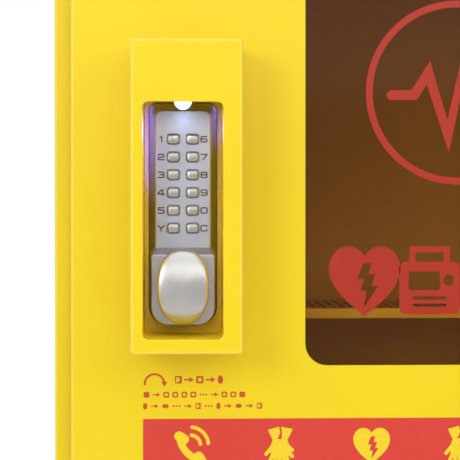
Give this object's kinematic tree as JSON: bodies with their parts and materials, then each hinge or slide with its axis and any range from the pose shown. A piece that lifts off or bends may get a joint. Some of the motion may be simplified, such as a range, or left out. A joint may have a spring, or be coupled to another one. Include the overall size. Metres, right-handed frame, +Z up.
{
  "type": "defibrillator wall cabinet",
  "caption": "Yellow steel wall cabinet for a public defibrillator: hinged door with smoked window, red pictogram strip and a hooded push-button code lock with a turn knob.",
  "frame": {"origin": "centre of the four wall fixing holes, on the back face of the cabinet", "axes": "+Y into the wall, so the door faces -Y; +Z up, along the cabinet's height; +X to the right of a person facing the door, the side of the hinge"},
  "size_m": [0.484, 0.264, 0.546],
  "materials": {
    "yellow_powder_coat": "satin powder coat with a fine orange-peel texture",
    "yellow_retainer": "satin powder coat",
    "red_print": "printed film with yellow pictograms",
    "black_rubber": "matt",
    "smoked_pane": "smoked brown polycarbonate with red print on its face",
    "satin_cast_zinc": "satin chrome on die-cast zinc",
    "satin_knob": "satin chrome, brushed smooth",
    "key_caps": "satin chrome",
    "zinc_plate": "bright zinc plate",
    "stainless": "rolled stainless",
    "spring_steel": "drawn wire",
    "brass": "machined",
    "black_plastic": "fine spark texture",
    "lamp_lens": "clear lens, lit",
    "wire_sheath": "smooth sheath",
    "grey_steel_case": "bead-blasted sheet",
    "bare_aluminium": "extruded",
    "ivory_plastic": "moulded, light grain",
    "cell_wrap": "printed shrink wrap"
  },
  "bodies": {
    "cabinet": {"cabinet_wrap": "yellow_powder_coat", "cabinet_floor": "yellow_powder_coat", "cabinet_back": "yellow_powder_coat", "cabinet_frame": "yellow_powder_coat", "cabinet_fixings": "zinc_plate", "door_seal": "black_rubber", "strike_plate": "zinc_plate", "hinge_frame_leaf": "stainless", "hinge_pin": "stainless", "shelf": "yellow_powder_coat", "heater_case": "grey_steel_case", "heater_fins": "bare_aluminium", "power_supply": "grey_steel_case", "thermostat": "ivory_plastic", "wiring_loom": "wire_sheath", "cable_gland": "black_plastic", "gland_locknut": "black_plastic"},
    "door": {"door_panel": "yellow_powder_coat", "pictogram_strip": "red_print", "window_seal": "black_rubber", "window_pane": "smoked_pane", "window_retainer": "yellow_retainer", "window_fixings": "zinc_plate", "door_frame": "yellow_powder_coat", "hinge_door_leaf": "stainless", "lock_hood": "yellow_powder_coat", "hood_liner": "yellow_powder_coat", "hood_screws": "zinc_plate", "lamp_housing": "black_plastic", "lamp_lens": "lamp_lens", "lamp_cable": "wire_sheath", "cable_grommet": "black_rubber", "battery_box": "black_plastic", "battery_cover": "black_plastic", "battery_cells": "cell_wrap", "lock_gasket": "black_rubber", "lock_case": "satin_cast_zinc", "code_chamber": "brass", "key_springs": "spring_steel", "lock_rear_plate": "zinc_plate", "lock_bolts": "zinc_plate", "knob_bush": "brass", "return_spring": "spring_steel"},
    "knob": {"thumb_knob": "satin_knob", "drive_spindle": "zinc_plate", "clutch_disc": "brass", "latch_cam": "zinc_plate", "cam_nut": "zinc_plate"},
    "key_1": {"key_1": "key_caps"},
    "key_2": {"key_2": "key_caps"},
    "key_3": {"key_3": "key_caps"},
    "key_4": {"key_4": "key_caps"},
    "key_5": {"key_5": "key_caps"},
    "key_y": {"key_y": "key_caps"},
    "key_6": {"key_6": "key_caps"},
    "key_7": {"key_7": "key_caps"},
    "key_8": {"key_8": "key_caps"},
    "key_9": {"key_9": "key_caps"},
    "key_0": {"key_0": "key_caps"},
    "key_c": {"key_c": "key_caps"}
  },
  "joints": [
    {"name": "door_hinge", "type": "hinge", "parent": "cabinet", "child": "door", "pos_m": [0.2324, -0.1845, 0], "axis": [0, 0, 1], "range_deg": [0, 120]},
    {"name": "knob_turn", "type": "hinge", "parent": "door", "child": "knob", "pos_m": [-0.144, -0.229, -0.0526], "axis": [0, 1, 0], "range_deg": [0, 90], "stiffness_Nm_per_rad": 0.3, "springref_deg": -28.65, "deforming": ["return_spring"]},
    {"name": "key_1_press", "type": "slide", "parent": "door", "child": "key_1", "axis": [0, 1, 0], "range_m": [0, 0.002], "stiffness_N_per_m": 600, "springref_m": -0.001, "deforming": ["key_springs"]},
    {"name": "key_2_press", "type": "slide", "parent": "door", "child": "key_2", "axis": [0, 1, 0], "range_m": [0, 0.002], "stiffness_N_per_m": 600, "springref_m": -0.001},
    {"name": "key_3_press", "type": "slide", "parent": "door", "child": "key_3", "axis": [0, 1, 0], "range_m": [0, 0.002], "stiffness_N_per_m": 600, "springref_m": -0.001},
    {"name": "key_4_press", "type": "slide", "parent": "door", "child": "key_4", "axis": [0, 1, 0], "range_m": [0, 0.002], "stiffness_N_per_m": 600, "springref_m": -0.001},
    {"name": "key_5_press", "type": "slide", "parent": "door", "child": "key_5", "axis": [0, 1, 0], "range_m": [0, 0.002], "stiffness_N_per_m": 600, "springref_m": -0.001},
    {"name": "key_y_press", "type": "slide", "parent": "door", "child": "key_y", "axis": [0, 1, 0], "range_m": [0, 0.002], "stiffness_N_per_m": 600, "springref_m": -0.001},
    {"name": "key_6_press", "type": "slide", "parent": "door", "child": "key_6", "axis": [0, 1, 0], "range_m": [0, 0.002], "stiffness_N_per_m": 600, "springref_m": -0.001},
    {"name": "key_7_press", "type": "slide", "parent": "door", "child": "key_7", "axis": [0, 1, 0], "range_m": [0, 0.002], "stiffness_N_per_m": 600, "springref_m": -0.001},
    {"name": "key_8_press", "type": "slide", "parent": "door", "child": "key_8", "axis": [0, 1, 0], "range_m": [0, 0.002], "stiffness_N_per_m": 600, "springref_m": -0.001},
    {"name": "key_9_press", "type": "slide", "parent": "door", "child": "key_9", "axis": [0, 1, 0], "range_m": [0, 0.002], "stiffness_N_per_m": 600, "springref_m": -0.001},
    {"name": "key_0_press", "type": "slide", "parent": "door", "child": "key_0", "axis": [0, 1, 0], "range_m": [0, 0.002], "stiffness_N_per_m": 600, "springref_m": -0.001},
    {"name": "key_c_press", "type": "slide", "parent": "door", "child": "key_c", "axis": [0, 1, 0], "range_m": [0, 0.002], "stiffness_N_per_m": 600, "springref_m": -0.001}
  ]
}
